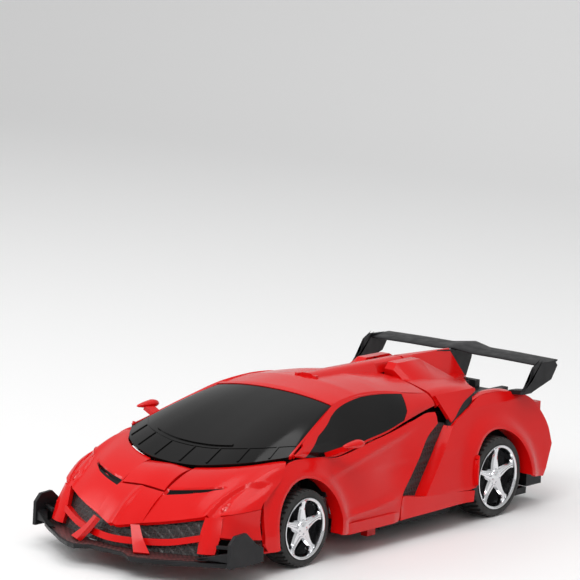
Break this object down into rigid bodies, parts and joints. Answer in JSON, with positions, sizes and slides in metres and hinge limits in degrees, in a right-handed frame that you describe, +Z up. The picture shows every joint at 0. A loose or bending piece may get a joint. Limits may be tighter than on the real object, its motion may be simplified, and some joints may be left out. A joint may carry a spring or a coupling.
{
  "type": "transforming robot toy car",
  "caption": "Wedge-shaped sports car toy whose nose, doors and roof rise on a driven parallelogram linkage to stand as a robot on the fixed rear of the car.",
  "frame": {"origin": "centre of the footprint, on the floor the wheels stand on", "axes": "-Y is the front of the car, +X its left side, +Z up"},
  "size_m": [0.104, 0.22, 0.0584],
  "materials": {
    "red_panel": "gloss",
    "black_plastic": "satin",
    "silver_plastic": "metallic satin",
    "smoke_window": "gloss",
    "plated_rim": "plated",
    "tyre": "treaded",
    "steel_pin": "ground",
    "red_lens": "clear red",
    "clear_lens": "clear",
    "battery_wrap": "printed film, plain",
    "motor_can": "plated can",
    "white_plastic": "satin",
    "green_board": "lacquered"
  },
  "bodies": {
    "base": {"rear_body_shell": "red_panel", "engine_deck": "black_plastic", "side_meshes": "black_plastic", "rear_wing": "black_plastic", "rear_bumper": "red_panel", "rear_diffuser": "black_plastic", "tail_lights": "red_lens", "exhaust_tips": "plated_rim", "chassis_tray": "black_plastic", "front_bulkhead": "red_panel", "front_grille": "silver_plastic", "battery_box": "black_plastic", "battery_cells": "battery_wrap", "battery_cover": "black_plastic", "motors": "motor_can", "lift_gearbox": "white_plastic", "circuit_board": "green_board", "charge_socket": "black_plastic", "speaker": "black_plastic", "rear_axle": "steel_pin", "base_pins": "steel_pin", "base_screws": "steel_pin"},
    "caster": {"caster_wheel": "tyre"},
    "switch": {"power_switch": "black_plastic"},
    "leg_column": {"leg_frame": "black_plastic", "shin_armour": "red_panel", "foot_armour": "silver_plastic", "thigh_rods": "silver_plastic", "pelvis_armour": "red_panel", "crotch_guard": "silver_plastic", "torso_frame": "black_plastic", "torso_armour": "red_panel", "torso_plate": "silver_plastic"},
    "chest": {"chest_frame": "black_plastic", "chest_pins": "steel_pin", "hood_shell": "red_panel", "front_bumper": "red_panel", "grille_mesh": "black_plastic", "headlights": "clear_lens", "front_splitter": "black_plastic"},
    "arm_link_left": {"arm_left": "black_plastic"},
    "arm_link_right": {"arm_right": "black_plastic"},
    "door_body_left": {"door_left": "red_panel", "door_bracket_left": "black_plastic"},
    "door_body_right": {"door_right": "red_panel", "door_bracket_right": "black_plastic"},
    "wheel_front_left": {"front_tyre_left": "tyre", "front_rim_left": "plated_rim"},
    "wheel_front_right": {"front_tyre_right": "tyre", "front_rim_right": "plated_rim"},
    "wheel_rear_left": {"rear_tyre_left": "tyre", "rear_rim_left": "plated_rim"},
    "wheel_rear_right": {"rear_tyre_right": "tyre", "rear_rim_right": "plated_rim"},
    "roof_panel": {"roof_shell": "red_panel", "roof_frame": "black_plastic", "windscreen": "smoke_window", "side_windows": "smoke_window", "head": "silver_plastic"}
  },
  "joints": [
    {"name": "transform_lift", "type": "hinge", "parent": "base", "child": "leg_column", "pos_m": [0, 0.005, 0.03], "axis": [-1, 0, 0], "range_deg": [0, 100]},
    {"name": "chest_level", "type": "hinge", "parent": "leg_column", "child": "chest", "pos_m": [0, -0.0984, 0.008], "axis": [-1, 0, 0], "range_deg": [-100, 0]},
    {"name": "roof_lift", "type": "hinge", "parent": "base", "child": "roof_panel", "pos_m": [0, 0.052, 0.053], "axis": [-1, 0, 0], "range_deg": [0, 100]},
    {"name": "shoulder_left", "type": "hinge", "parent": "chest", "child": "arm_link_left", "pos_m": [0.0315, -0.069, 0.0245], "axis": [0, 0, -1], "range_deg": [0, 100]},
    {"name": "shoulder_right", "type": "hinge", "parent": "chest", "child": "arm_link_right", "pos_m": [-0.0315, -0.069, 0.0245], "axis": [0, 0, 1], "range_deg": [0, 100]},
    {"name": "wrist_left", "type": "hinge", "parent": "arm_link_left", "child": "door_body_left", "pos_m": [0.0255, -0.035, 0.0245], "axis": [0, 0, -1], "range_deg": [-100, 0]},
    {"name": "wrist_right", "type": "hinge", "parent": "arm_link_right", "child": "door_body_right", "pos_m": [-0.0255, -0.035, 0.0245], "axis": [0, 0, 1], "range_deg": [-100, 0]},
    {"name": "spin_front_left", "type": "hinge", "parent": "door_body_left", "child": "wheel_front_left", "pos_m": [0.0388, -0.0495, 0.01415], "axis": [1, 0, 0], "continuous": true},
    {"name": "spin_front_right", "type": "hinge", "parent": "door_body_right", "child": "wheel_front_right", "pos_m": [-0.0388, -0.0495, 0.01415], "axis": [1, 0, 0], "continuous": true},
    {"name": "spin_rear_left", "type": "hinge", "parent": "base", "child": "wheel_rear_left", "pos_m": [0.0378, 0.0685, 0.01555], "axis": [1, 0, 0], "continuous": true},
    {"name": "spin_rear_right", "type": "hinge", "parent": "base", "child": "wheel_rear_right", "pos_m": [-0.0378, 0.0685, 0.01555], "axis": [1, 0, 0], "continuous": true},
    {"name": "spin_caster", "type": "hinge", "parent": "base", "child": "caster", "pos_m": [0, 0.008, 0.0054], "axis": [1, 0, 0], "continuous": true},
    {"name": "power_slide", "type": "slide", "parent": "base", "child": "switch", "axis": [0, 1, 0], "range_m": [0, 0.002]}
  ],
  "couplings": [
    {"joint": "chest_level", "follows": "transform_lift", "ratio": -1},
    {"joint": "roof_lift", "follows": "transform_lift", "ratio": 1},
    {"joint": "shoulder_left", "follows": "transform_lift", "ratio": 1},
    {"joint": "shoulder_right", "follows": "transform_lift", "ratio": 1},
    {"joint": "wrist_left", "follows": "transform_lift", "ratio": -1},
    {"joint": "wrist_right", "follows": "transform_lift", "ratio": -1}
  ]
}
